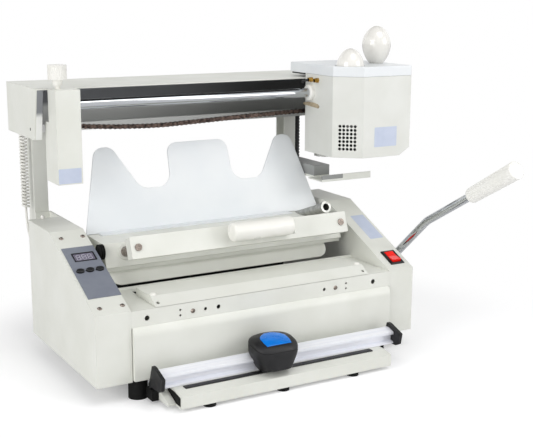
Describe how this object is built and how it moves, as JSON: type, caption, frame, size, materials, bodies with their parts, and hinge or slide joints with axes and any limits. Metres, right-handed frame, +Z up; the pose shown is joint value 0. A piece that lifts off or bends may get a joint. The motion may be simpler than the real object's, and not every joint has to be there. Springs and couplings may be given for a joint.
{
  "type": "hot melt binding machine",
  "caption": "Desk top hot melt book binder with a glue carriage on a guide rod, leaning book clamp, nipping table with side lever, and a creaser in front",
  "frame": {"origin": "on the desk under the middle of the machine's outer size", "axes": "+X along the machine to the operator's right, +Y to its back, +Z up"},
  "size_m": [0.51, 0.4582, 0.3985],
  "materials": {
    "dark_paint": "dark grey coat",
    "ivory_paint": "satin ivory powder coat",
    "lid_paint": "smooth cool white paint",
    "white_plastic": "smooth off white moulding",
    "knob_plastic": "polished ivory moulding",
    "black_plastic": "black moulding",
    "red_plastic": "lit red rocker",
    "panel_film": "grey panel film",
    "button_plastic": "dark button",
    "board": "green circuit board",
    "black_rubber": "black rubber",
    "loom_plastic": "cable sleeve",
    "bright_steel": "polished chrome",
    "dull_steel": "machined steel",
    "bare_aluminium": "extruded aluminium",
    "brass": "turned brass"
  },
  "bodies": {
    "frame": {"base_pan": "dark_paint", "side_frames": "ivory_paint", "cabinet_left": "ivory_paint", "cabinet_right": "ivory_paint", "cover_screws": "dull_steel", "table_plate": "ivory_paint", "front_cover": "ivory_paint", "rubber_feet": "black_rubber", "posts": "ivory_paint", "beam": "ivory_paint", "rod_box": "ivory_paint", "guide_rod": "bright_steel", "drive_chain": "dull_steel", "cable_looms": "loom_plastic", "drip_tray": "ivory_paint", "control_panel": "panel_film", "control_board": "board", "rocker_bezel": "black_plastic", "mains_inlet": "black_plastic", "rear_jaw": "ivory_paint", "spine_plate": "ivory_paint", "backrest": "lid_paint", "stop_tube": "white_plastic", "bumper": "black_rubber", "creaser_base": "ivory_paint", "creaser_strip": "black_plastic", "creaser_arms": "ivory_paint"},
    "jaw": {"jaw_bar": "ivory_paint", "jaw_rods": "bright_steel"},
    "lock": {"lock_lever": "ivory_paint", "lock_grip": "white_plastic"},
    "nip": {"nip_bar": "ivory_paint", "nip_screws": "white_plastic"},
    "press": {"lever_shaft": "dull_steel", "lever_rod": "bright_steel", "lever_grip": "white_plastic"},
    "carriage": {"carriage_shell": "ivory_paint", "rod_bushes": "white_plastic", "cable_glands": "brass", "glue_tank": "bare_aluminium", "heater_plate": "dull_steel", "roller_belt": "black_rubber", "cutter_motor": "dull_steel", "lift_spring": "dull_steel"},
    "lid": {"carriage_lid": "lid_paint", "lid_knob": "knob_plastic"},
    "lift": {"lift_plunger": "knob_plastic"},
    "roller": {"glue_roller": "bare_aluminium"},
    "wheel": {"chain_wheel": "dull_steel"},
    "cutter": {"milling_cutter": "dull_steel"},
    "dial": {"adjust_knob": "white_plastic"},
    "scraper": {"scraper_block": "black_plastic"},
    "rail": {"creaser_rail": "bare_aluminium", "rail_caps": "black_plastic"},
    "head": {"creaser_head": "black_plastic"},
    "crease_wheel": {"creaser_wheel": "dull_steel"},
    "rocker": {"power_rocker": "red_plastic"},
    "button_1": {"push_button_1": "button_plastic"},
    "button_2": {"push_button_2": "button_plastic"},
    "button_3": {"push_button_3": "button_plastic"}
  },
  "joints": [
    {"name": "carriage_slide", "type": "slide", "parent": "frame", "child": "carriage", "axis": [1, 0, 0], "range_m": [-0.3, 0]},
    {"name": "lid_hinge", "type": "hinge", "parent": "carriage", "child": "lid", "pos_m": [0.1615, 0.15296, 0.34], "axis": [-1, 0, 0], "range_deg": [0, 80]},
    {"name": "lift_slide", "type": "slide", "parent": "carriage", "child": "lift", "axis": [0, 0, -1], "range_m": [0, 0.012], "stiffness_N_per_m": 400, "springref_m": -0.005, "deforming": ["lift_spring"]},
    {"name": "roller_spin", "type": "hinge", "parent": "carriage", "child": "roller", "pos_m": [0.1695, 0.06206, 0.245], "axis": [0, 1, 0], "range_deg": [-1405, 0]},
    {"name": "wheel_spin", "type": "hinge", "parent": "carriage", "child": "wheel", "pos_m": [0.1695, 0.12206, 0.303], "axis": [0, 1, 0], "range_deg": [-1405, 0]},
    {"name": "cutter_spin", "type": "hinge", "parent": "carriage", "child": "cutter", "pos_m": [0.1305, 0.09206, 0.232], "axis": [0, 0, 1], "continuous": true},
    {"name": "jaw_slide", "type": "slide", "parent": "frame", "child": "jaw", "axis": [0, 0.9426, -0.3338], "range_m": [0, 0.022]},
    {"name": "lock_hinge", "type": "hinge", "parent": "jaw", "child": "lock", "pos_m": [-0.04, 0.00095, 0.15821], "axis": [0, -0.9426, 0.3338], "range_deg": [0, 40]},
    {"name": "press_hinge", "type": "hinge", "parent": "frame", "child": "press", "pos_m": [-0.041, 0.02206, 0.08], "axis": [1, 0, 0], "range_deg": [0, 30]},
    {"name": "nip_slide", "type": "slide", "parent": "frame", "child": "nip", "axis": [0, 1, 0], "range_m": [0, 0.0231]},
    {"name": "dial_turn", "type": "hinge", "parent": "frame", "child": "dial", "pos_m": [-0.232, 0.10206, 0.35], "axis": [0, 0, 1], "range_deg": [0, 1080]},
    {"name": "scraper_slide", "type": "slide", "parent": "frame", "child": "scraper", "axis": [0, 0, -1], "range_m": [0, 0.00601]},
    {"name": "rail_hinge", "type": "hinge", "parent": "frame", "child": "rail", "pos_m": [-0.041, -0.06994, 0.02], "axis": [-1, 0, 0], "range_deg": [0, 8]},
    {"name": "head_slide", "type": "slide", "parent": "rail", "child": "head", "axis": [1, 0, 0], "range_m": [-0.1, 0.12]},
    {"name": "crease_wheel_spin", "type": "hinge", "parent": "head", "child": "crease_wheel", "pos_m": [-0.058, -0.10094, 0.0306], "axis": [0, 1, 0], "range_deg": [-720, 865]},
    {"name": "rocker_tilt", "type": "hinge", "parent": "frame", "child": "rocker", "pos_m": [0.1515, -0.03553, 0.11041], "axis": [1, 0, 0], "range_deg": [0, 14]},
    {"name": "button_1_press", "type": "slide", "parent": "frame", "child": "button_1", "axis": [0, 0.4074, -0.9133], "range_m": [0, 0.001], "stiffness_N_per_m": 250, "springref_m": -0.0006},
    {"name": "button_2_press", "type": "slide", "parent": "frame", "child": "button_2", "axis": [0, 0.4074, -0.9133], "range_m": [0, 0.001], "stiffness_N_per_m": 250, "springref_m": -0.0006},
    {"name": "button_3_press", "type": "slide", "parent": "frame", "child": "button_3", "axis": [0, 0.4074, -0.9133], "range_m": [0, 0.001], "stiffness_N_per_m": 250, "springref_m": -0.0006}
  ],
  "couplings": [
    {"joint": "roller_spin", "follows": "carriage_slide", "rad_per_m": 81.5},
    {"joint": "wheel_spin", "follows": "carriage_slide", "rad_per_m": 81.5},
    {"joint": "nip_slide", "follows": "press_hinge", "m_per_rad": 0.0441},
    {"joint": "scraper_slide", "follows": "dial_turn", "m_per_rad": 0.00031831},
    {"joint": "crease_wheel_spin", "follows": "head_slide", "rad_per_m": 125}
  ]
}
